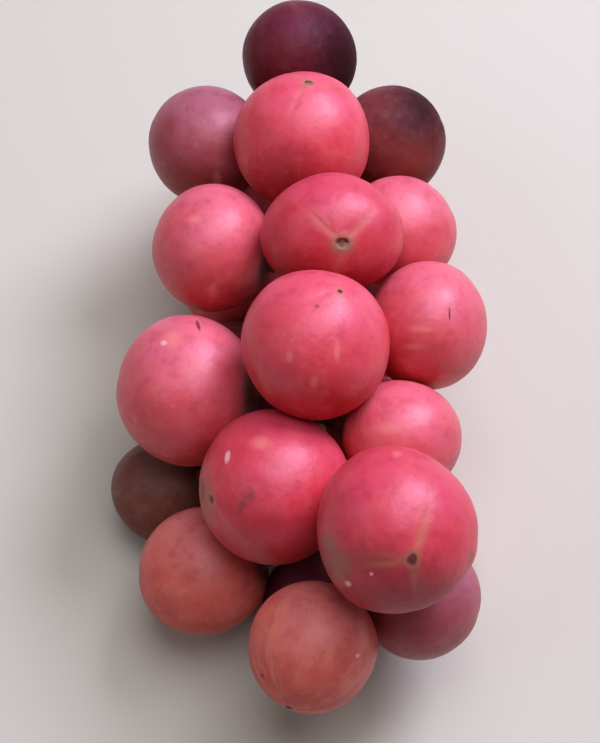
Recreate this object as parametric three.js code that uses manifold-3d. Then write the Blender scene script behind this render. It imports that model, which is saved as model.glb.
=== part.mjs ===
// A bunch of burmese grapes as picked: round rose-red fruits packed around one woody stalk,
// each on a short stem of its own. The bunch lies on its back on a flat surface.
//
// The frame: Z is up from the surface, the bunch lies along Y with the stalk's cut end at +Y,
// and the origin is on the surface under the middle of the bunch. Sizes are in millimetres.
import * as THREE from "three";
import { mergeVertices } from "three/addons/utils/BufferGeometryUtils.js";
import Module from "manifold-3d";

const wasm = await Module();
wasm.setup();

// The fruits that face up, from the stalk's end to the far end of the bunch: where the middle of
// each lies, its size along X, Y and Z, and the way its blossom tip points. Dusky ones are darker.
const UPPER_FRUITS = [
  { name: "fruit_01", at: [-1.5, 74, 55], size: [28.5, 28, 28], tip: [-2, 7.5, 6.3], dusky: true },
  { name: "fruit_02", at: [-23.5, 54.5, 45.5], size: [29, 29.5, 29], tip: [-9, 3.5, 1], dusky: true },
  { name: "fruit_03", at: [-0.5, 44, 59.5], size: [32.5, 32.5, 32], tip: [0.7, 2.7, 9.6] },
  { name: "fruit_04", at: [20.5, 56, 45], size: [27.5, 27.5, 27.5], tip: [9, 4, 1], dusky: true },
  { name: "fruit_05", at: [-21.5, 21, 49], size: [28, 30.5, 30.5], tip: [-9.3, 3, -0.5] },
  { name: "fruit_06", at: [6, 16.5, 62.5], size: [32, 27, 27], tip: [1.2, -6.9, 7.1] },
  { name: "fruit_07", at: [22, 28.5, 45], size: [27.5, 27, 27], tip: [9, 4, -1] },
  { name: "fruit_08", at: [27.5, -0.5, 49.5], size: [27, 30, 29], tip: [9.3, 3, 1] },
  { name: "fruit_09", at: [2, -13.5, 62], size: [32.5, 32, 32], tip: [3, 2.5, 9.2] },
  { name: "fruit_10", at: [-26.5, -11.5, 39.5], size: [32.5, 35, 34.5], tip: [-9.5, 1.5, -2.5] },
  { name: "fruit_11", at: [21, -26, 45], size: [26.5, 26.5, 26], tip: [9.3, -2.5, 0] },
  { name: "fruit_12", at: [-6.5, -37.5, 44.5], size: [33, 34, 33.5], tip: [-8.6, -4, 4.6] },
  { name: "fruit_13", at: [18, -54.5, 59], size: [32.5, 34.5, 34.5], tip: [1.2, -7, 7] },
  { name: "fruit_14", at: [-33.5, -23.5, 13], size: [25.5, 26, 25], tip: [-7.5, 0.5, -6.6], dusky: true },
  { name: "fruit_15", at: [-23, -47.5, 20], size: [29.5, 29, 29.5], tip: [-9.5, -0.5, -3] },
  { name: "fruit_16", at: [1.5, -71, 36], size: [27.5, 27.5, 28], tip: [-3.5, -9, 0] },
  { name: "fruit_17", at: [25, -56.5, 28.5], size: [26.5, 27, 26.5], tip: [9, -2, -3] },
];

// The fruits underneath, most of which lie on the surface. Their tips point away from the stalk.
const UNDER_FRUITS = [
  { name: "fruit_18", at: [11, 72, 13], size: [27, 27.5, 26.5] },
  { name: "fruit_19", at: [-17, 62, 13], size: [28, 28, 27.5] },
  { name: "fruit_20", at: [15, 44, 13.5], size: [28.5, 28, 28.5] },
  { name: "fruit_21", at: [-18, 35, 17], size: [28.5, 29, 29] },
  { name: "fruit_22", at: [18, 16, 16], size: [28, 27.5, 28.5] },
  { name: "fruit_23", at: [-16, 8, 13], size: [27.5, 28, 27], dusky: true },
  { name: "fruit_24", at: [19, -11, 15], size: [29, 28.5, 28.5] },
  { name: "fruit_25", at: [-7, -18, 12.5], size: [27, 26.5, 27], dusky: true },
  { name: "fruit_26", at: [25.5, -36, 13], size: [27.5, 28, 27] },
  { name: "fruit_27", at: [5, -52, 13], size: [28, 27.5, 28], dusky: true },
];

// How the fruits lie against each other and the surface.
const PRESSED_IN = 0.7; // two touching fruits flatten each other by this much in all
const SKIN_GAP = 0.3; // clear space left between two fruits
const SUNK = 0.6; // a fruit's underside is flattened this much where it rests on the surface
const SETTLE_ROUNDS = 400;
const UPPER_SHARE = 0.25; // of a push between an upper and an under fruit, the upper one takes this

// One fruit's form.
const SIDES = 16;
const SKIN_STATIONS = [158, 138, 118, 98, 78, 58, 38, 22, 8]; // degrees round from the tip
const NECK_LONG = 1.5; // the short neck that the stem joins
const NECK_ROOT_RADIUS = 2.7;
const NECK_RADIUS = 2.2;
const SCAR_RADIUS = 0.9; // the scar that the flower's style leaves at the tip
const SCAR_DEEP = 0.9;

// The stalk: a woody main stem through the middle of the bunch, and a stem to each fruit.
const STALK_LINE = [
  [-1, 96, 33],
  [0, 74, 36],
  [1, 50, 38],
  [0, 30, 38],
  [0, 8, 39],
  [1, -12, 36],
  [9, -37, 30],
  [8, -54, 31.5],
];
const STALK_RADIUS = 2.7; // at the cut end
const STALK_TIP_RADIUS = 1.5;
const STALK_SIDES = 10;
const STALK_STEPS = 24;
const STEM_RADIUS = 1.0;
const STEM_END_RADIUS = 1.9; // the swollen end that holds the fruit
const STEM_SIDES = 6;
const STEM_STEPS = 6;
const STEM_SLANT = new THREE.Vector3(0, 6, 0); // each stem leaves the stalk nearer its cut end
const STEM_CLEAR = 0.6; // clear space between a stem and the fruits it passes
const STEM_GAP = 0.5; // and between its end and the neck of its own fruit

const roseSkin = new THREE.MeshStandardMaterial({ color: 0xc23a50, roughness: 0.42, metalness: 0 });
const duskySkin = new THREE.MeshStandardMaterial({ color: 0x6e3038, roughness: 0.5, metalness: 0 });
const stalkBark = new THREE.MeshStandardMaterial({ color: 0x6f5a3c, roughness: 0.8, metalness: 0 });

const stalkCurve = new THREE.CatmullRomCurve3(STALK_LINE.map((p) => new THREE.Vector3(...p)));
const stalkPoints = stalkCurve.getSpacedPoints(100);

function nearestOnStalk(point) {
  return stalkPoints.reduce((a, b) => (point.distanceTo(a) <= point.distanceTo(b) ? a : b));
}

// How far a fruit reaches from its middle along a direction.
function reach(fruit, direction) {
  return direction.clone().multiply(fruit.halfSize).length() / direction.length();
}

// Moves the fruits until none presses another, the stalk or the surface by more than it may.
function settle(fruits) {
  const away = new THREE.Vector3();
  for (let round = 0; round < SETTLE_ROUNDS; round++) {
    fruits.forEach((a, i) => {
      for (const b of fruits.slice(i + 1)) {
        away.subVectors(b.middle, a.middle);
        const tooClose = reach(a, away) + reach(b, away) - PRESSED_IN - away.length();
        if (tooClose <= 0) continue;
        away.setLength(tooClose);
        const share = a.upper === b.upper ? 0.5 : a.upper ? UPPER_SHARE : 1 - UPPER_SHARE;
        a.middle.addScaledVector(away, -share);
        b.middle.addScaledVector(away, 1 - share);
      }
      away.subVectors(a.middle, nearestOnStalk(a.middle));
      const inStalk = reach(a, away) + STALK_RADIUS + STEM_CLEAR - away.length();
      if (inStalk > 0) a.middle.addScaledVector(away.normalize(), inStalk);
      a.middle.z = Math.max(a.middle.z, a.halfSize.z - SUNK);
    });
  }
}

function layOut() {
  const place = (upper) => (f) => ({
    name: f.name,
    upper,
    skin: f.dusky ? duskySkin : roseSkin,
    middle: new THREE.Vector3(...f.at),
    halfSize: new THREE.Vector3(...f.size).multiplyScalar(0.5),
    tip: f.tip ? new THREE.Vector3(...f.tip).normalize() : null,
  });
  const fruits = [...UPPER_FRUITS.map(place(true)), ...UNDER_FRUITS.map(place(false))];
  settle(fruits);
  for (const f of fruits) {
    f.tip ??= f.middle.clone().sub(nearestOnStalk(f.middle.clone().add(STEM_SLANT))).normalize();
    f.radius = Math.cbrt(f.halfSize.x * f.halfSize.y * f.halfSize.z);
    f.stretch = f.halfSize.clone().divideScalar(f.radius);
    const neck = f.tip.clone().multiply(f.stretch).multiplyScalar(-(f.radius + NECK_LONG));
    f.neckEnd = f.middle.clone().add(neck);
  }
  return fruits;
}

// Half of a fruit's section, from the end of its neck to the bottom of the scar at its tip.
function fruitOutline(radius) {
  const skin = SKIN_STATIONS.map((degrees) => {
    const turn = THREE.MathUtils.degToRad(degrees);
    return new THREE.Vector2(radius * Math.sin(turn), radius * Math.cos(turn));
  });
  return [
    new THREE.Vector2(0, -radius - NECK_LONG),
    new THREE.Vector2(NECK_RADIUS, -radius - NECK_LONG),
    new THREE.Vector2(NECK_ROOT_RADIUS, -radius),
    ...skin,
    new THREE.Vector2(SCAR_RADIUS, radius - SCAR_DEEP / 3),
    new THREE.Vector2(0, radius - SCAR_DEEP),
  ];
}

// Draws the skin in, towards the fruit's middle, where a neighbour lies against it.
function pressIn(geometry, fruit, fruits) {
  const skin = geometry.getAttribute("position");
  const corner = new THREE.Vector3();
  for (const other of fruits) {
    const across = other.middle.clone().sub(fruit.middle);
    const apart = across.length();
    const meet = (apart + reach(fruit, across) - reach(other, across) - SKIN_GAP) / 2;
    if (other === fruit || meet > 1.5 * fruit.radius) continue;
    across.normalize();
    for (let i = 0; i < skin.count; i++) {
      corner.fromBufferAttribute(skin, i);
      const out = corner.dot(across);
      if (out > meet) corner.multiplyScalar(meet / out);
      skin.setXYZ(i, ...corner.toArray());
    }
  }
}

function solidFrom(geometry) {
  const bare = geometry.index ? geometry.clone() : geometry;
  bare.deleteAttribute("normal");
  bare.deleteAttribute("uv");
  const merged = mergeVertices(bare, 1e-4);
  const vertProperties = new Float32Array(merged.getAttribute("position").array);
  const triVerts = new Uint32Array(merged.index.array);
  return new wasm.Manifold(new wasm.Mesh({ numProp: 3, vertProperties, triVerts }));
}

function geometryFrom(solid) {
  const mesh = solid.getMesh();
  const position = new THREE.BufferAttribute(new Float32Array(mesh.vertProperties), 3);
  const index = new THREE.BufferAttribute(new Uint32Array(mesh.triVerts), 1);
  return new THREE.BufferGeometry().setAttribute("position", position).setIndex(index);
}

function makeFruit(fruit, fruits) {
  const geometry = new THREE.LatheGeometry(fruitOutline(fruit.radius), SIDES);
  const stand = new THREE.Quaternion().setFromUnitVectors(new THREE.Vector3(0, 1, 0), fruit.tip);
  geometry.applyQuaternion(stand).scale(...fruit.stretch.toArray());
  pressIn(geometry, fruit, fruits);
  let solid = solidFrom(geometry);
  if (fruit.middle.z < fruit.halfSize.z) {
    const under = new THREE.BoxGeometry(4 * fruit.radius, 4 * fruit.radius, fruit.radius);
    under.translate(0, 0, -fruit.middle.z - fruit.radius / 2);
    solid = solid.subtract(solidFrom(under));
  }
  const mesh = new THREE.Mesh(geometryFrom(solid), fruit.skin);
  mesh.name = fruit.name;
  mesh.position.copy(fruit.middle);
  return mesh;
}

// A round bar bent along a curve. radiusAt gives its radius at each share of its length.
function bentBar(curve, radiusAt, sides, steps) {
  const bar = new THREE.CylinderGeometry(1, 1, 1, sides, steps);
  const frames = curve.computeFrenetFrames(steps);
  const bones = curve.getSpacedPoints(steps);
  const skin = bar.getAttribute("position");
  const corner = new THREE.Vector3();
  for (let i = 0; i < skin.count; i++) {
    const step = Math.round((skin.getY(i) + 0.5) * steps);
    const radius = radiusAt(step / steps);
    corner
      .copy(bones[step])
      .addScaledVector(frames.normals[step], -radius * skin.getX(i))
      .addScaledVector(frames.binormals[step], radius * skin.getZ(i));
    skin.setXYZ(i, ...corner.toArray());
  }
  return bar;
}

// The way a fruit's stem takes from the stalk to the fruit's neck, bent clear of the fruits.
function stemCurve(fruit, fruits) {
  const root = nearestOnStalk(fruit.neckEnd.clone().add(STEM_SLANT));
  const end = fruit.neckEnd.clone().addScaledVector(fruit.tip, -STEM_GAP);
  const before = end.clone().addScaledVector(fruit.tip, -root.distanceTo(end) * 0.45);
  const after = root.clone().lerp(before, 0.4);
  const points = new THREE.CubicBezierCurve3(root, after, before, end).getPoints(STEM_STEPS * 2);
  const free = points.slice(1, -2);
  for (let round = 0; round < 60; round++) {
    free.forEach((point, i) => {
      const middle = points[i].clone().add(points[i + 2]).multiplyScalar(0.5);
      point.lerp(middle, 0.5);
      for (const other of fruits) {
        const off = point.clone().sub(other.middle);
        const least = reach(other, off) + STEM_END_RADIUS + STEM_CLEAR;
        if (off.length() < least && (other !== fruit || i < free.length - 2)) {
          point.copy(other.middle).add(off.setLength(least));
        }
      }
    });
  }
  return new THREE.CatmullRomCurve3(points);
}

function makeStalk(fruits) {
  const taper = (t) => THREE.MathUtils.lerp(STALK_RADIUS, STALK_TIP_RADIUS, t);
  const flare = (t) => THREE.MathUtils.lerp(STEM_RADIUS, STEM_END_RADIUS, t ** 6);
  let solid = solidFrom(bentBar(stalkCurve, taper, STALK_SIDES, STALK_STEPS));
  for (const fruit of fruits) {
    const stem = bentBar(stemCurve(fruit, fruits), flare, STEM_SIDES, STEM_STEPS);
    solid = solid.add(solidFrom(stem));
  }
  const mesh = new THREE.Mesh(geometryFrom(solid), stalkBark);
  mesh.name = "stalk";
  return mesh;
}

const fruits = layOut();
const bunch = new THREE.Group();
bunch.add(makeStalk(fruits), ...fruits.map((fruit) => makeFruit(fruit, fruits)));
const middle = new THREE.Box3().setFromObject(bunch).getCenter(new THREE.Vector3());
bunch.position.set(-middle.x, -middle.y, 0);

export default bunch;
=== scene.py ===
"""A bunch of burmese grapes, lying on its back, built around its CAD model as a Blender add-on."""
import math

import bpy
import numpy as np
from bpy.props import FloatProperty, FloatVectorProperty, PointerProperty
from mathutils import Matrix, Vector, noise


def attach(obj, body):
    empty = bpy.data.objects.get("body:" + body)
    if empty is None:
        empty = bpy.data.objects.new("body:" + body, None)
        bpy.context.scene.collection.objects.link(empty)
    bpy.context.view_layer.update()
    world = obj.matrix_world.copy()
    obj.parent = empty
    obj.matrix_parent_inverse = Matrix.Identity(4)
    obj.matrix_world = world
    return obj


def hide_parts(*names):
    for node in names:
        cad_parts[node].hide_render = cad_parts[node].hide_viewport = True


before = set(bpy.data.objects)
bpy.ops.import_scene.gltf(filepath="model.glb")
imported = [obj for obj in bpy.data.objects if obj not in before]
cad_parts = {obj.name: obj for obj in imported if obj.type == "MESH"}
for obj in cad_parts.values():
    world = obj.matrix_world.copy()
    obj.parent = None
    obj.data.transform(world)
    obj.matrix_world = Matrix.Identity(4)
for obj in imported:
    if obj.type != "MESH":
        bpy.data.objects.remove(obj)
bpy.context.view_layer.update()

bl_info = {
    "name": "Burmese Grape Bunch",
    "version": (1, 0, 0),
    "blender": (4, 5, 0),
    "location": "View3D > Sidebar > Burmese Grapes",
    "description": "Adds a bunch of burmese grapes with its stalk, and a floor, lights and camera for it",
    "category": "Add Mesh",
}

MM = 0.001
FRUIT_NODES = sorted(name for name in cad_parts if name.startswith("fruit_"))

# The camera looks down on the bunch at this angle. Then come its right, its up and its back.
ELEVATION = math.radians(60)
RIGHT = np.array([1.0, 0.0, 0.0])
UP = np.array([0.0, math.sin(ELEVATION), math.cos(ELEVATION)])
BACK = np.cross(RIGHT, UP)
AIM = np.array([1.4, -5.8, 28.5]) * MM
CAMERA_DISTANCE = 356 * MM
LENS = 72.6
SENSOR = 36
PICTURE = (600, 743)
PIXEL = CAMERA_DISTANCE * SENSOR / LENS / PICTURE[1]  # at the point that the camera aims at
# The radius of the fruit that every other one is a copy of.
MASTER_RADIUS = 15 * MM
# The side toward the lights. Each fruit's colour is painted lighter and pinker toward it, as painted light
# and sheen, and darker away from it, as painted shade.
PAINTED_LIGHT_SIDE = 0.22 * RIGHT + 0.8 * UP + 0.55 * BACK
# How often an oval is fitted to a fruit, and how far off it a corner may be and still count by half.
FIT_ROUNDS = 40
FIT_MISS = 0.01
# From this angle from the tip on, a fruit's skin belongs to its neck.
NECK_ANGLE = math.radians(160)
# A seam is a soft groove this deep, and at this distance from its middle about a third as deep.
SEAM_DEPTH = 0.12 * MM
SEAM_WIDTH = 0.7 * MM
# Settings that many nodes share: a smooth step and noise that has a seed. A step goes from nothing
# at its first level to the most at its second.
SMOOTH = {"interpolation_type": "SMOOTHSTEP"}
STEP_INPUTS = ("Value", "From Min", "From Max", "To Max")
SOLID = {"noise_dimensions": "4D"}


def linear(hex_colour):
    """An sRGB hex colour as linear red, green and blue."""
    channels = [int(hex_colour[i : i + 2], 16) / 255 for i in (1, 3, 5)]
    return tuple(c / 12.92 if c <= 0.04045 else ((c + 0.055) / 1.055) ** 2.4 for c in channels)


def rgba(hex_colour):
    """The same with full cover."""
    return (*linear(hex_colour), 1.0)


# How each fruit differs from the rest. skin names one of the colours in FruitSettings. scar is the
# scar's size against the largest one, nub how much of the flower's dried style is left in it. seams
# are the directions of the three seams as seen past the tip, in degrees clockwise from up, and
# seam_show is how plain they are and seam_hue their colour. streaks is how plain the pale streaks
# are, and gloss how waxy the skin is.
USUAL_LOOK = {
    "skin": "rose", "gloss": 0.62, "scar": 0.5, "nub": 0.0, "seam_show": 0.15, "seam_hue": "#c07a62",
    "streaks": 0.12,
}
LOOKS = {
    # fruit_01, fruit_02, fruit_04 and fruit_14 take dark skins that are partly their own tone and partly
    # painted shade. fruit_23, fruit_25 and fruit_27 lie deep in the bunch, and their dark skins are painted
    # shade in the gaps between the others.
    "fruit_01": {"skin": "plum", "gloss": 0.1},
    "fruit_02": {"skin": "dusky_rose", "gloss": 0.4},
    "fruit_03": {"skin": "bright_rose", "scar": 0.62, "nub": 0.8, "seam_show": 0.3},
    "fruit_04": {"skin": "dusky", "gloss": 0.12},
    "fruit_06": {
        "skin": "deep_rose", "scar": 1.0, "nub": 1.0, "seams": (-42, 40, 184), "seam_show": 0.5,
        "seam_hue": "#d98a7c",
    },
    "fruit_09": {"skin": "bright_rose", "scar": 0.36},
    "fruit_12": {"skin": "deep_rose", "scar": 0.6},
    "fruit_13": {"skin": "deep_rose", "scar": 0.7, "seams": (20, 168, 261), "seam_show": 0.75},
    "fruit_14": {"skin": "umber", "gloss": 0.15},
    "fruit_15": {"skin": "brick", "gloss": 0.35},
    "fruit_16": {"skin": "brick", "gloss": 0.35, "streaks": 0.5},
    "fruit_17": {"skin": "dusky_rose"},
    "fruit_23": {"skin": "dusky", "gloss": 0.2},
    "fruit_25": {"skin": "dusky", "gloss": 0.2},
    "fruit_27": {"skin": "plum", "gloss": 0.1},
}

# The marks on single fruits: a kind, then the middle and the half width and height of its spot, in
# pixels of the 600 by 743 photograph, and where it slants, its turn to the left in degrees. Each one
# lies on the skin that shows there.
MARKS = {
    # The dark patches on fruit_01 and fruit_04 are painted shade, where shade fell on them.
    "fruit_01": (("dark blush", 345, 62, 30, 60),),
    "fruit_02": (("scuff", 217, 179, 4, 6), ("russet", 190, 178, 22, 16)),
    # The dark patches on the lower sides of fruit_03, fruit_06 and fruit_13 are painted shade, where shade
    # falls under them.
    "fruit_03": (("deep blush", 288, 186, 50, 24),),
    "fruit_04": (("dark blush", 424, 104, 34, 42), ("russet", 410, 165, 24, 20)),
    "fruit_05": (("scuff", 194, 219, 6, 3), ("scuff", 213, 292, 5, 8)),
    "fruit_06": (("crease", 318, 217, 0.9, 11, 44), ("deep blush", 310, 282, 50, 22)),
    "fruit_08": (("scuff", 421, 329, 10, 3), ("scuff", 414, 347, 8, 3), ("crack", 449.5, 314, 1, 6)),
    "fruit_09": (
        ("scuff", 289, 357, 3.5, 5), ("scuff", 337, 351, 3, 9), ("scuff", 314, 382, 4, 6),
        ("speck", 317, 306, 2.5, 2),
    ),
    "fruit_10": (
        ("scuff", 172, 339, 9, 9), ("chalk", 163.6, 342.7, 3.5, 2.5), ("crack", 198, 325, 1.7, 7.5, 20),
    ),
    "fruit_11": (("scuff", 388, 428, 10, 5),),
    "fruit_12": (
        ("cork", 204, 494, 9, 20), ("scab", 203, 490, 3, 7), ("tan", 206, 518, 10, 13),
        ("scab", 250, 494.5, 5, 6), ("scab", 241.5, 507, 3.5, 8, -25), ("chalk", 227.4, 457, 2.6, 6, -8),
        ("scuff", 261, 443, 9, 6),
    ),
    "fruit_13": (
        ("deep blush", 400, 598, 56, 30), ("russet", 366, 560, 40, 13), ("russet", 330, 566, 20, 26),
        ("cork", 336, 561, 15, 13, 30), ("cork", 328, 541, 10, 8, 20), ("tan", 338, 580, 10, 8),
        ("cork", 471, 557, 4, 9), ("scuff", 397, 453.5, 5, 3), ("chalk", 348, 584, 3.2, 3.2),
        ("chalk", 371.5, 574, 1.7, 1.7),
    ),
    "fruit_16": (("speck", 262, 676, 2.5, 2), ("chalk", 358, 656, 2, 2)),
}
# Each kind's colour, how much of the skin's own it hides, how ragged and how soft its edge is.
KINDS = {
    "chalk": ("#f0b4bc", 0.9, 0.7, 0.5),
    "cork": ("#a06a5a", 0.62, 2.2, 0.65),
    "crack": ("#5c1020", 0.85, 0.6, 0.4),
    "crease": ("#9c2c4a", 0.45, 0.8, 0.7),
    # This kind is painted shade: a dark patch where shade falls.
    "dark blush": ("#200a10", 0.85, 0.8, 0.9),
    # This kind is painted shade on the lower side of a fruit.
    "deep blush": ("#6c1215", 0.5, 0.8, 0.9),
    "russet": ("#8f4038", 0.5, 1.2, 0.8),
    "scab": ("#7c4238", 0.62, 3.0, 0.8),
    "scuff": ("#ee8c82", 0.45, 1.6, 0.7),
    "speck": ("#6a1c34", 0.6, 0.8, 0.7),
    "tan": ("#b8705c", 0.5, 1.4, 0.7),
}


class FruitSettings(bpy.types.PropertyGroup):
    """Sizes and colours of the fruits."""

    scar_radius: FloatProperty(
        name="Scar radius",
        description="Radius of the largest scar at a fruit's tip",
        default=1.8 * MM,
        min=0.2 * MM,
        unit="LENGTH",
    )
    neck_radius: FloatProperty(
        name="Neck radius",
        description="Radius of the neck that the stem joins",
        default=2.1 * MM,
        min=0.5 * MM,
        unit="LENGTH",
    )
    neck_length: FloatProperty(
        name="Neck length",
        description="How far the neck stands out of the fruit, up to the end of its stem",
        default=2.0 * MM,
        min=0.1 * MM,
        unit="LENGTH",
    )
    lobe_height: FloatProperty(
        name="Lobe height",
        description="How far the three lobes swell between the seams",
        default=0.25 * MM,
        unit="LENGTH",
    )
    lump_height: FloatProperty(
        name="Lump height",
        description="How far the skin's slow unevenness goes in and out",
        default=0.3 * MM,
        unit="LENGTH",
    )
    contact_gap: FloatProperty(
        name="Contact gap",
        description="Clear space where two fruits lie against each other",
        default=0.04 * MM,
        unit="LENGTH",
    )
    rose: FloatVectorProperty(
        name="Rose", description="Colour of most of the fruits",
        default=linear("#dc5462"), subtype="COLOR", min=0, max=1,
    )
    deep_rose: FloatVectorProperty(
        name="Deep rose", description="Colour of the ripest fruits",
        default=linear("#d33a4c"), subtype="COLOR", min=0, max=1,
    )
    bright_rose: FloatVectorProperty(
        name="Bright rose", description="Colour of the fruits that had the most sun",
        default=linear("#e04658"), subtype="COLOR", min=0, max=1,
    )
    brick: FloatVectorProperty(
        name="Brick", description="Colour of the browner fruits",
        default=linear("#d15f58"), subtype="COLOR", min=0, max=1,
    )
    # The dusky rose, dusky, plum and umber skins are partly painted shade on fruit_01, fruit_02, fruit_04
    # and fruit_14, and painted shade on fruit_23, fruit_25 and fruit_27.
    dusky_rose: FloatVectorProperty(
        name="Dusky rose", description="Colour of the duller fruits",
        default=linear("#a64b57"), subtype="COLOR", min=0, max=1,
    )
    dusky: FloatVectorProperty(
        name="Dusky", description="Colour of the dark brownish fruits",
        default=linear("#7d3538"), subtype="COLOR", min=0, max=1,
    )
    plum: FloatVectorProperty(
        name="Plum", description="Colour of the darkest fruits",
        default=linear("#662230"), subtype="COLOR", min=0, max=1,
    )
    umber: FloatVectorProperty(
        name="Umber", description="Colour of the brown fruit low in the bunch",
        default=linear("#77463e"), subtype="COLOR", min=0, max=1,
    )


class StalkSettings(bpy.types.PropertyGroup):
    """The stalk's finish."""

    grain: FloatProperty(
        name="Voxel size",
        description="Edge of the faces that the stalk's surface is made of",
        default=0.35 * MM,
        min=0.1 * MM,
        unit="LENGTH",
    )
    bark: FloatVectorProperty(
        name="Bark", description="Colour of the bark",
        default=linear("#6b5a3a"), subtype="COLOR", min=0, max=1,
    )


class StageSettings(bpy.types.PropertyGroup):
    """The floor, the lights and the camera."""

    floor_width: FloatProperty(
        name="Floor width",
        description="Width of the square floor",
        default=6.0,
        unit="LENGTH",
    )
    floor_colour: FloatVectorProperty(
        name="Floor", description="Colour of the floor",
        default=linear("#cfcdc9"), subtype="COLOR", min=0, max=1,
    )
    camera_distance: FloatProperty(
        name="Camera distance",
        description="Distance from the camera to the point that it aims at",
        default=CAMERA_DISTANCE,
        unit="LENGTH",
    )
    lens: FloatProperty(
        name="Lens",
        description="Focal length over a 36 mm frame",
        default=LENS,
        min=10,
        unit="CAMERA",
    )


def select_only(piece):
    """Leaves one object selected and active."""
    bpy.ops.object.select_all(action="DESELECT")
    piece.select_set(True)
    bpy.context.view_layer.objects.active = piece


def select_faces(piece, wanted):
    """Selects the faces whose centre passes a test, in edit mode."""
    bpy.ops.object.mode_set(mode="OBJECT")
    mesh = piece.data
    for group in (mesh.vertices, mesh.edges, mesh.polygons):
        group.foreach_set("select", [False] * len(group))
    for face in mesh.polygons:
        face.select = wanted(face.center)
    bpy.ops.object.mode_set(mode="EDIT")


def corners_of(mesh):
    """A mesh's corners as rows of numbers."""
    places = np.empty(3 * len(mesh.vertices))
    mesh.vertices.foreach_get("co", places)
    return places.reshape(-1, 3)


def copy_of(piece, name):
    """A copy with its own mesh."""
    copy = piece.copy()
    copy.data = piece.data.copy()
    copy.name = copy.data.name = name
    bpy.context.collection.objects.link(copy)
    return copy


def merge_corners(piece):
    """Joins a CAD copy's loose triangles into one skin."""
    select_only(piece)
    bpy.ops.object.mode_set(mode="EDIT")
    bpy.ops.mesh.select_all(action="SELECT")
    bpy.ops.mesh.remove_doubles(threshold=0.001 * MM)
    bpy.ops.object.mode_set(mode="OBJECT")


def add_modifier(piece, kind, **settings):
    """Adds a modifier and applies it."""
    select_only(piece)
    made = piece.modifiers.new(kind.title(), kind)
    for key, value in settings.items():
        setattr(made, key, value)
    bpy.ops.object.modifier_apply(modifier=made.name)


def node(tree, kind, inputs=None, **settings):
    """Adds a node with its settings and links, and returns its first output."""
    made = tree.nodes.new("ShaderNode" + kind)
    for key, value in settings.items():
        setattr(made, key, value)
    for key, value in (inputs or {}).items():
        socket = made.inputs[key] if isinstance(key, int) else next(
            s for s in made.inputs if s.name == key and s.enabled
        )
        if isinstance(value, bpy.types.NodeSocket):
            tree.links.new(value, socket)
        else:
            socket.default_value = value
    return next((s for s in made.outputs if s.enabled), None)


def new_material(name):
    """A material with a Principled shader, and its tree and shader."""
    material = bpy.data.materials.new(name)
    material.use_nodes = True
    tree = material.node_tree
    return material, tree, tree.nodes["Principled BSDF"]


def unit(vector):
    """A vector of the same direction and length 1."""
    return vector / np.linalg.norm(vector)


class Body:
    """One fruit's form, read from its CAD node: an oval that a neck stands out of."""

    def __init__(self, name):
        reading = copy_of(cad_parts[name], "reading")
        merge_corners(reading)
        corners = corners_of(reading.data)
        bpy.data.objects.remove(reading)
        self.name = name
        self.index = FRUIT_NODES.index(name)
        self.look = {**USUAL_LOOK, **LOOKS.get(name, {})}
        # The oval is fitted round by round, and the corners off it, on the neck and flats, count less.
        weights = np.ones(len(corners))
        rows = np.hstack([corners**2, corners])
        for _ in range(FIT_ROUNDS):
            fit = np.linalg.lstsq(rows * weights[:, None], weights, rcond=None)[0]
            square, line = fit[:3], fit[3:]
            self.middle = -line / (2 * square)
            level = 1 + np.sum(square * self.middle**2)
            self.half = np.sqrt(level / square)
            miss = np.sum(((corners - self.middle) / self.half) ** 2, axis=1) - 1
            weights = 1 / (1 + (miss / FIT_MISS) ** 2)
        oval = (corners - self.middle) / self.half
        spans = np.linalg.norm(oval, axis=1)
        self.tip = unit(-oval[spans > spans.max() - 0.02].mean(axis=0))
        self.radius = float(np.cbrt(np.prod(self.half)))
        forward = unit(UP - self.tip * (UP @ self.tip))
        self.axes = np.stack([forward, np.cross(self.tip, forward), self.tip])
        first = self.index * 47 % 120
        clockwise = self.look.get("seams", (first, first + 114, first + 247))
        self.seams = np.sort(-np.radians(clockwise) % math.tau)

    def reach(self, direction):
        """How far the oval goes from its middle along a direction."""
        return np.linalg.norm(self.half * direction) / np.linalg.norm(direction)

    def pixel(self, x, y):
        """The point of the skin that shows at a pixel of the photograph."""
        start = AIM + BACK * bpy.context.scene.grape_stage.camera_distance
        focus = bpy.context.scene.grape_stage.lens / SENSOR * PICTURE[1]
        ray = RIGHT * (x - PICTURE[0] / 2) - UP * (y - PICTURE[1] / 2) - BACK * focus
        begin, step = (start - self.middle) / self.half, ray / self.half
        a, b, c = step @ step, begin @ step, begin @ begin - 1
        return start + ray * (-b - math.sqrt(max(b * b - a * c, 0))) / a


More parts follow.
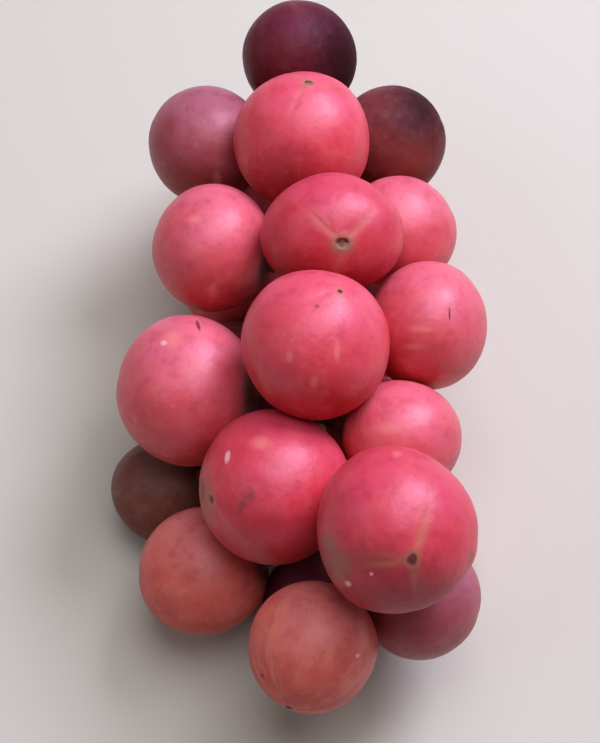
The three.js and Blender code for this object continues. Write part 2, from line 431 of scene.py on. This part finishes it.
def make_master_fruit(settings):
    """A whole fruit at the origin with its tip up: a ball with a scar pressed in and a neck drawn out."""
    rings = 20
    radius = MASTER_RADIUS
    bpy.ops.object.select_all(action="DESELECT")
    bpy.ops.mesh.primitive_uv_sphere_add(segments=28, ring_count=rings, radius=radius, calc_uvs=False)
    fruit = bpy.context.object
    scar = settings.scar_radius
    cap = radius * math.sin(math.pi / rings)
    cap_height = radius * math.cos(math.pi / rings) * 0.999
    select_faces(fruit, lambda centre: centre.z > cap_height)
    # Each step goes in by some of the scar's radius and then up: a rim, the pit and a nub in it.
    steps = (
        (cap / scar - 1.45, 0.02),
        (0.35, 0.02),
        (0.15, 0.0),
        (0.2, -0.12),
        (0.2, -0.06),
        (0.15, 0.08),
        (0.2, 0.05),
        (0.1, -0.03),
    )
    for inward, up in steps:
        bpy.ops.mesh.inset(thickness=inward * scar, depth=0, use_even_offset=False)
        bpy.ops.transform.translate(value=(0, 0, up * scar))
    neck = settings.neck_radius
    select_faces(fruit, lambda centre: centre.z < -cap_height)
    bpy.ops.mesh.inset(thickness=cap - 1.3 * neck, depth=0, use_even_offset=False)
    bpy.ops.mesh.inset(thickness=0.3 * neck, depth=0, use_even_offset=False)
    bpy.ops.transform.translate(value=(0, 0, -0.25 * settings.neck_length))
    rise = (0, 0, -0.7 * settings.neck_length)
    bpy.ops.mesh.extrude_region_move(TRANSFORM_OT_translate={"value": rise})
    bpy.ops.mesh.inset(thickness=0.15 * neck, depth=0, use_even_offset=False)
    bpy.ops.object.mode_set(mode="OBJECT")
    add_modifier(fruit, "SUBSURF", levels=2, render_levels=2)
    return fruit


def shape_fruit(fruit, body, bodies, settings):
    """Turns a copy of the master into one fruit of the bunch, in its place."""
    master = corners_of(fruit.data)
    height = np.linalg.norm(master, axis=1) - MASTER_RADIUS
    off_axis = np.hypot(master[:, 0], master[:, 1])
    around = np.arctan2(master[:, 1], master[:, 0]) % math.tau
    angle = np.arctan2(off_axis, master[:, 2])

    # The scar keeps its place and takes the size of this fruit's own.
    scar = body.look["scar"]
    arc = MASTER_RADIUS * angle / (3.5 * settings.scar_radius)
    near = np.clip(1 - arc, 0, 1)
    shrink = 1 - (1 - scar) * near**2 * (3 - 2 * near)
    inner = np.clip(1.3 - MASTER_RADIUS * angle / settings.scar_radius, 0, 1)
    flat = 1 - 0.7 * (1 - body.look["nub"]) * inner
    neck = angle > NECK_ANGLE
    height = np.where(neck, height, height * shrink * flat)
    angle = np.where(neck, angle, angle * shrink)

    # Three seams run from the tip, with a lobe between each two: wave is 0 on a seam and 1 midway.
    seams = np.append(body.seams, body.seams[0] + math.tau)
    between = np.interp(np.where(around < seams[0], around + math.tau, around), seams, range(4)) % 1
    wave = np.abs(np.sin(math.pi * between))
    from_seam = body.radius * np.sin(angle) * wave / 1.5
    height += settings.lobe_height * np.sin(angle) ** 2 * (2 * wave**2 - 1)
    seam_fade = np.clip((angle - 0.13) / 0.1, 0, 1) * np.exp(-((angle / 0.8) ** 2))
    height -= SEAM_DEPTH * np.exp(-((from_seam / SEAM_WIDTH) ** 2)) * seam_fade

    # The master becomes the oval, turned to its own tip, with slow and quick unevenness.
    outward = np.stack(
        [np.sin(angle) * np.cos(around), np.sin(angle) * np.sin(around), np.cos(angle)], 1
    )
    local = np.where(neck[:, None], master, outward * (MASTER_RADIUS + height)[:, None])
    sphere = local @ body.axes / MASTER_RADIUS
    oval = sphere * body.half
    seed = Vector((body.index * 7.3, 0, 0))
    slow = np.array([noise.noise(Vector(p) / (17 * MM) + seed) for p in oval])
    quick = np.array([noise.noise(Vector(p) / (7 * MM) - seed) for p in oval])
    fade = np.clip((math.radians(165) - angle) / 0.3, 0, 1)
    oval *= (1 + settings.lump_height / body.radius * (1.6 * slow + 0.35 * quick) * fade)[:, None]

    # It is flat where it meets another fruit or the floor.
    for other in bodies:
        across = other.middle - body.middle
        apart = np.linalg.norm(across)
        if other is body or apart > 2.5 * body.radius:
            continue
        meet = (apart + body.reach(across) - other.reach(across) - settings.contact_gap) / 2
        press(oval, across / apart, meet)
    press(oval, np.array([0, 0, -1]), body.middle[2])

    fruit.data.vertices.foreach_set("co", (oval + body.middle).ravel())
    fruit.data.update()
    tip_place = body.radius * angle[:, None] * np.stack([np.cos(around), np.sin(around)], 1)
    write_attribute(fruit.data, "tip_place", np.column_stack([tip_place, body.radius * angle]) / MM)
    write_attribute(fruit.data, "around", np.column_stack([np.cos(around), np.sin(around), angle]))
    # How far each corner faces the lights, kept for the painted light and painted shade in the rind's
    # colour, beside the distance from a seam and the lobe wave.
    painted_light = sphere @ unit(PAINTED_LIGHT_SIDE)
    write_attribute(fruit.data, "growth", np.column_stack([from_seam / MM, painted_light, wave]))


def press(places, across, meet, soft=0.25 * MM):
    """Flattens what lies past a plane, with a soft edge."""
    over = places @ across - meet
    gentle = np.where(over > soft, 0, np.where(over < -soft, over, -((over - soft) ** 2) / (4 * soft)))
    places -= (over - gentle)[:, None] * across


def write_attribute(mesh, name, rows):
    """Keeps a row of three numbers for each corner, for the material to read."""
    mesh.attributes.new(name, "FLOAT_VECTOR", "POINT").data.foreach_set("vector", rows.ravel())


def spot_mask(tree, place, crumbs, body, kind, x, y, half_width, half_height, turn=0):
    """How much of the skin a mark hides: its strength in the spot, fading out at a ragged edge."""
    strength, ragged, soft = kind
    middle = body.pixel(x, y)
    pixel = PIXEL * (1 - (middle - AIM) @ BACK / bpy.context.scene.grape_stage.camera_distance)
    depth = 1.5 * max(half_width, half_height) + 4
    tilt = Matrix.Rotation(math.radians(90) - ELEVATION, 3, "X")
    facing = tilt @ Matrix.Rotation(math.radians(turn), 3, "Z")
    mapping = {
        "Vector": place,
        "Location": middle,
        "Rotation": facing.to_euler(),
        "Scale": [pixel * half for half in (half_width, half_height, depth)],
    }
    inside = node(tree, "Mapping", mapping, vector_type="TEXTURE")
    out = node(tree, "VectorMath", {0: inside}, operation="LENGTH").node.outputs["Value"]
    shifted = node(tree, "Math", {0: out, 1: ragged / 2}, operation="SUBTRACT")
    edge = node(tree, "Math", {0: crumbs, 1: ragged, 2: shifted}, operation="MULTIPLY_ADD")
    limits = {"Value": edge, "From Min": 1 + soft, "From Max": 1 - soft, "To Max": strength}
    return node(tree, "MapRange", limits, **SMOOTH)


def leathery_rind(body, settings):
    """The rind of a ripe burmese grape: smooth and leathery, with a thin natural wax that turns the
    light into one broad, soft, pinkish patch. Tan seams and a corky ring lie about its dark scar."""
    look = body.look
    main = np.array(getattr(settings, look["skin"]))
    # The first tint is the colour toward the lights, lighter and whiter: painted light and sheen. The
    # second is the colour away from them, darker: painted shade. pale and deep are the skin's own blotches.
    painted_light = main * (1.05, 1.6, 2.0)
    painted_shade_tint = main * (0.8, 0.42, 0.22)
    pale = main * (1.1, 1.8, 1.5) + 0.02
    deep = main * (0.72, 0.6, 0.7)

    material, tree, shader = new_material("waxy leathery rind " + body.name[-2:])
    place = tree.nodes.new("ShaderNodeTexCoord").outputs["Object"]
    tip, around, growth = (
        node(tree, "Attribute", attribute_name=name).node.outputs["Vector"]
        for name in ("tip_place", "around", "growth")
    )
    above_tip, _, arc = node(tree, "SeparateXYZ", {"Vector": tip}).node.outputs
    _, _, from_tip = node(tree, "SeparateXYZ", {"Vector": around}).node.outputs
    from_seam, toward_painted_light, _ = node(tree, "SeparateXYZ", {"Vector": growth}).node.outputs

    # Slow changes over the fruit, blotches, crumb-like freckles and pores, from 9 mm down to 0.8 mm.
    seed = body.index * 3.7
    clouds, mottle, crumbs, pores = (
        node(tree, "TexNoise", {"Vector": place, "W": seed, "Scale": 1 / size, "Detail": detail}, **SOLID)
        for size, detail in ((9 * MM, 2.0), (4 * MM, 3.0), (1.8 * MM, 4.0), (0.8 * MM, 2.0))
    )
    stretched = node(tree, "VectorMath", {0: around, 1: (7.0, 7.0, 1.6)}, operation="MULTIPLY")
    streaks = node(tree, "TexNoise", {"Vector": stretched, "W": seed, "Scale": 1.0, "Detail": 2.0}, **SOLID)
    # How far a point faces the lights, with slow blotches mixed in: where the colour turns from painted
    # shade to painted light.
    behind = node(tree, "Math", {0: toward_painted_light, 1: 0.45}, operation="SUBTRACT")
    sun = node(tree, "Math", {0: clouds, 1: 0.9, 2: behind}, operation="MULTIPLY_ADD")

    # Each tint goes on over the ones before it.
    # The colour starts as painted shade and turns to the skin's own and then to painted light toward the
    # lights.
    colour = (*np.clip(painted_shade_tint, 0, 1), 1)
    for *step, tint in (
        (sun, -0.4, 0.3, 1.0, main),
        (sun, 0.35, 1.0, 1.0, painted_light),
        (mottle, 0.5, 0.68, 0.3, pale),
        (mottle, 0.5, 0.32, 0.4, deep),
        (crumbs, 0.54, 0.72, 0.3, pale),
        (crumbs, 0.46, 0.28, 0.34, deep),
        (streaks, 0.48, 0.72, look["streaks"], pale),
    ):
        amount = node(tree, "MapRange", dict(zip(STEP_INPUTS, step)), **SMOOTH)
        tint = (*np.clip(tint, 0, 1), 1)
        colour = node(tree, "Mix", {"Factor": amount, "A": colour, "B": tint}, data_type="RGBA")

    # The seams are tan by the tip and fade out within some 13 mm of it.
    narrowing = node(tree, "Math", {0: arc, 1: -0.09, 2: from_seam}, operation="MULTIPLY_ADD")
    wander = node(tree, "Math", {0: mottle, 1: 1.6, 2: narrowing}, operation="MULTIPLY_ADD")
    line = node(tree, "MapRange", {"Value": wander, "From Min": 2.4, "From Max": 0.2}, **SMOOTH)
    limits = {"Value": arc, "From Min": 15.0, "From Max": 1.0, "To Max": look["seam_show"]}
    seam = node(tree, "Math", {0: line, 1: node(tree, "MapRange", limits, **SMOOTH)}, operation="MULTIPLY")

    # The scar is dark, with a tan halo and corners that run into the seams. The dried style shows tan in
    # its lower half where there is one left, and the scar's upper half stays dark as painted shade of the
    # pit's upper wall.
    size = look["scar"]
    inward = node(tree, "Math", {0: arc, 1: 0.6 * size}, operation="SUBTRACT")
    ragged = node(tree, "Math", {0: crumbs, 1: 1.2 * size, 2: inward}, operation="MULTIPLY_ADD")
    star = node(tree, "Math", {0: line, 1: -0.7 * size, 2: ragged}, operation="MULTIPLY_ADD")
    halo, scar, lower_half, inner, neck = (
        node(tree, "MapRange", dict(zip(STEP_INPUTS, step)), **SMOOTH)
        for step in (
            (ragged, 3.8 * size, 1.4 * size, 0.55),
            (star, 1.6 * size, 0.5 * size, 1.0),
            # The tan style leaves out the scar's upper half, which stays dark as painted shade.
            (above_tip, 0.3, -0.2, look["nub"]),
            (ragged, 2.1 * size, 1.5 * size, 1.0),
            (from_tip, 2.65, 2.9, 1.0),
        )
    )
    style = node(tree, "Math", {0: lower_half, 1: inner}, operation="MULTIPLY")

    # The wax lies over the seams and the halo. The scar, the marks and the brown neck are dry and matt.
    waxy = [(seam, look["seam_hue"]), (halo, "#ae7c62")]
    dry = [(scar, "#54201a"), (style, "#9a7460")]
    # Some of these marks are painted shade: the dark patches on the shaded and lower sides of some fruits.
    for name, *spot in MARKS.get(body.name, ()):
        hue, *kind = KINDS[name]
        dry.append((spot_mask(tree, place, crumbs, body, kind, *spot), hue))
    dry.append((neck, "#6d4638"))
    for amount, hue in waxy + dry:
        colour = node(tree, "Mix", {"Factor": amount, "A": colour, "B": rgba(hue)}, data_type="RGBA")
    tree.links.new(colour, shader.inputs["Base Color"])
    matt = 0.0
    for amount, _ in dry:
        matt = node(tree, "Math", {0: matt, 1: amount}, operation="MAXIMUM")

    # Fine pores and a slow unevenness that breaks up the edge of the sheen.
    uneven = node(tree, "Math", {0: crumbs, 1: 0.9, 2: mottle}, operation="MULTIPLY_ADD")
    relief = node(tree, "Math", {0: pores, 1: 0.2, 2: uneven}, operation="MULTIPLY_ADD")
    bump = node(tree, "Bump", {"Strength": 0.6, "Distance": 0.22 * MM, "Height": relief})
    tree.links.new(bump, shader.inputs["Normal"])
    satin = node(tree, "Math", {0: mottle, 1: 0.16, 2: 0.34}, operation="MULTIPLY_ADD")
    roughness = node(tree, "Math", {0: matt, 1: 0.35, 2: satin}, operation="MULTIPLY_ADD")
    tree.links.new(roughness, shader.inputs["Roughness"])
    shader.inputs["IOR"].default_value = 1.5
    shader.inputs["Specular IOR Level"].default_value = look["gloss"]
    shader.inputs["Specular Tint"].default_value = (1.0, 0.8, 1.0, 1.0)
    shader.inputs["Subsurface Weight"].default_value = 0.06
    shader.inputs["Subsurface Scale"].default_value = 1.2 * MM
    shader.inputs["Subsurface Radius"].default_value = (1.0, 0.35, 0.25)
    shader.inputs["Sheen Weight"].default_value = 0.02
    shader.inputs["Sheen Roughness"].default_value = 0.4
    shader.inputs["Sheen Tint"].default_value = rgba("#e8b4d4")
    return material


def bark(settings, end):
    """Young woody stalk: thin, dry, ridged bark, dull, with pale corky pores along it. Where it was
    cut, at its end, the bare wood shows pale."""
    material, tree, shader = new_material("dry stalk bark")
    place = tree.nodes.new("ShaderNodeTexCoord").outputs["Object"]
    ridges, blotches = (
        node(tree, "TexNoise", {"Vector": place, "W": seed, "Scale": 1 / size, "Detail": detail}, **SOLID)
        for seed, size, detail in ((0.0, 0.8 * MM, 4.0), (4.0, 4 * MM, 2.0))
    )
    facing = node(tree, "Attribute", attribute_name="facing").node.outputs["Vector"]
    _, endward, _ = node(tree, "SeparateXYZ", {"Vector": facing}).node.outputs
    _, along, _ = node(tree, "SeparateXYZ", {"Vector": place}).node.outputs
    groove, pore, at_end, cross_cut = (
        node(tree, "MapRange", dict(zip(STEP_INPUTS, step)), **SMOOTH)
        for step in (
            (ridges, 0.35, 0.65),
            (blotches, 0.5, 0.7),
            (along, end - 3 * MM, end - 2 * MM),
            (endward, 0.8, 0.93),
        )
    )
    cut = node(tree, "Math", {0: at_end, 1: cross_cut}, operation="MULTIPLY")
    colour = (*settings.bark, 1)
    for amount, hue in ((groove, "#3c3122"), (pore, "#857a4c"), (cut, "#c8b48a")):
        colour = node(tree, "Mix", {"Factor": amount, "A": colour, "B": rgba(hue)}, data_type="RGBA")
    tree.links.new(colour, shader.inputs["Base Color"])
    bump = node(tree, "Bump", {"Strength": 0.5, "Distance": 0.2 * MM, "Height": ridges})
    tree.links.new(bump, shader.inputs["Normal"])
    shader.inputs["Roughness"].default_value = 0.8
    return material


def matt_paper(colour):
    """A plain seamless paper floor: even, matt and pale."""
    material, tree, shader = new_material("seamless paper")
    place = tree.nodes.new("ShaderNodeTexCoord").outputs["Object"]
    fibre = node(tree, "TexNoise", {"Vector": place, "Scale": 1 / (1.1 * MM), "Detail": 2.0}, **SOLID)
    amount = node(tree, "Math", {0: fibre, 1: 0.04}, operation="MULTIPLY")
    tint = {"Factor": amount, "A": (*colour, 1), "B": rgba("#d8d6d2")}
    tree.links.new(node(tree, "Mix", tint, data_type="RGBA"), shader.inputs["Base Color"])
    shader.inputs["Roughness"].default_value = 0.9
    return material


def finish_piece(piece, material, node_name):
    """Gives a piece its material, rounds its shading and puts it in the place of its CAD node."""
    piece.data.materials.clear()
    piece.data.materials.append(material)
    select_only(piece)
    bpy.ops.object.shade_smooth()
    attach(piece, "root")
    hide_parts(node_name)


class GRAPES_OT_fruits(bpy.types.Operator):
    """Adds every fruit of the bunch in its place"""

    bl_idname = "grapes.fruits"
    bl_label = "Add Fruits"

    def execute(self, context):
        settings = context.scene.grape_fruits
        bodies = [Body(name) for name in FRUIT_NODES]
        master = make_master_fruit(settings)
        for body in bodies:
            fruit = copy_of(master, "grape_" + body.name[-2:])
            shape_fruit(fruit, body, bodies, settings)
            finish_piece(fruit, leathery_rind(body, settings), body.name)
        bpy.data.objects.remove(master)
        return {"FINISHED"}


class GRAPES_OT_stalk(bpy.types.Operator):
    """Adds the woody stalk with a stem to each fruit"""

    bl_idname = "grapes.stalk"
    bl_label = "Add Stalk"

    def execute(self, context):
        settings = context.scene.grape_stalk
        stalk = copy_of(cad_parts["stalk"], "grape_stalk")
        merge_corners(stalk)
        add_modifier(stalk, "REMESH", mode="VOXEL", voxel_size=settings.grain)
        add_modifier(stalk, "SMOOTH", factor=0.5, iterations=6)
        facing = np.empty((len(stalk.data.vertices), 3))
        stalk.data.vertex_normals.foreach_get("vector", facing.ravel())
        write_attribute(stalk.data, "facing", facing)
        finish_piece(stalk, bark(settings, corners_of(stalk.data)[:, 1].max()), "stalk")
        return {"FINISHED"}


class GRAPES_OT_stage(bpy.types.Operator):
    """Adds the floor, the lights and the camera"""

    bl_idname = "grapes.stage"
    bl_label = "Add Stage"

    def execute(self, context):
        settings = context.scene.grape_stage
        bpy.ops.object.select_all(action="DESELECT")
        bpy.ops.mesh.primitive_plane_add(size=settings.floor_width, location=(0, 0, 0))
        floor = context.object
        floor.name = floor.data.name = "floor"
        floor.data.materials.append(matt_paper(settings.floor_colour))
        add_lights(context.scene)
        add_camera(context.scene, settings)
        return {"FINISHED"}


def add_area_light(name, toward, distance, size, power, colour):
    """A soft panel that shines on the bunch from a direction."""
    place = Vector(AIM + unit(toward) * distance)
    bpy.ops.object.light_add(type="AREA", location=place)
    light = bpy.context.object
    light.name = light.data.name = name
    light.rotation_euler = (place - Vector(AIM)).to_track_quat("Z", "Y").to_euler()
    light.data.shape = "DISK"
    light.data.size = size
    light.data.energy = power
    light.data.color = linear(colour)


def add_lights(scene):
    """A key from above on the right, a large soft panel overhead and a weak fill from the left."""
    add_area_light("key", 0.48 * RIGHT + 0.74 * UP + 0.45 * BACK, 0.9, 0.45, 6.8, "#f8f2ff")
    add_area_light("overhead", 0.12 * RIGHT + 0.55 * UP + 0.82 * BACK, 1.2, 0.9, 7.2, "#fffcfa")
    add_area_light("fill", -0.75 * RIGHT + 0.15 * UP + 0.65 * BACK, 1.2, 0.9, 1.8, "#fff8f4")
    world = bpy.data.worlds.new("studio")
    world.use_nodes = True
    back = world.node_tree.nodes["Background"]
    back.inputs["Color"].default_value = rgba("#fff4ee")
    back.inputs["Strength"].default_value = 0.1
    scene.world = world
    scene.view_settings.view_transform = "Standard"


def add_camera(scene, settings):
    """A camera at the photograph's angle."""
    place = Vector(AIM + BACK * settings.camera_distance)
    bpy.ops.object.camera_add(location=place, rotation=Vector(BACK).to_track_quat("Z", "Y").to_euler())
    camera = bpy.context.object
    camera.name = camera.data.name = "camera"
    camera.data.lens = settings.lens
    camera.data.sensor_width = SENSOR
    camera.data.clip_start = 0.01
    scene.camera = camera


class GRAPES_PT_panel(bpy.types.Panel):
    """Lists the steps that build the bunch, with their sizes and colours"""

    bl_label = "Burmese Grapes"
    bl_idname = "GRAPES_PT_panel"
    bl_space_type = "VIEW_3D"
    bl_region_type = "UI"
    bl_category = "Burmese Grapes"

    def draw(self, context):
        scene = context.scene
        for settings, step in (
            (scene.grape_fruits, GRAPES_OT_fruits),
            (scene.grape_stalk, GRAPES_OT_stalk),
            (scene.grape_stage, GRAPES_OT_stage),
        ):
            box = self.layout.box()
            for name in settings.__annotations__:
                box.prop(settings, name)
            box.operator(step.bl_idname)


CLASSES = (
    FruitSettings,
    StalkSettings,
    StageSettings,
    GRAPES_OT_fruits,
    GRAPES_OT_stalk,
    GRAPES_OT_stage,
    GRAPES_PT_panel,
)


def register():
    for cls in CLASSES:
        bpy.utils.register_class(cls)
    bpy.types.Scene.grape_fruits = PointerProperty(type=FruitSettings)
    bpy.types.Scene.grape_stalk = PointerProperty(type=StalkSettings)
    bpy.types.Scene.grape_stage = PointerProperty(type=StageSettings)


def unregister():
    del bpy.types.Scene.grape_stage
    del bpy.types.Scene.grape_stalk
    del bpy.types.Scene.grape_fruits
    for cls in reversed(CLASSES):
        bpy.utils.unregister_class(cls)


def main():
    register()
    bpy.ops.grapes.stage()
    bpy.ops.grapes.stalk()
    bpy.ops.grapes.fruits()
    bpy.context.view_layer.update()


if __name__ == "__main__":
    main()
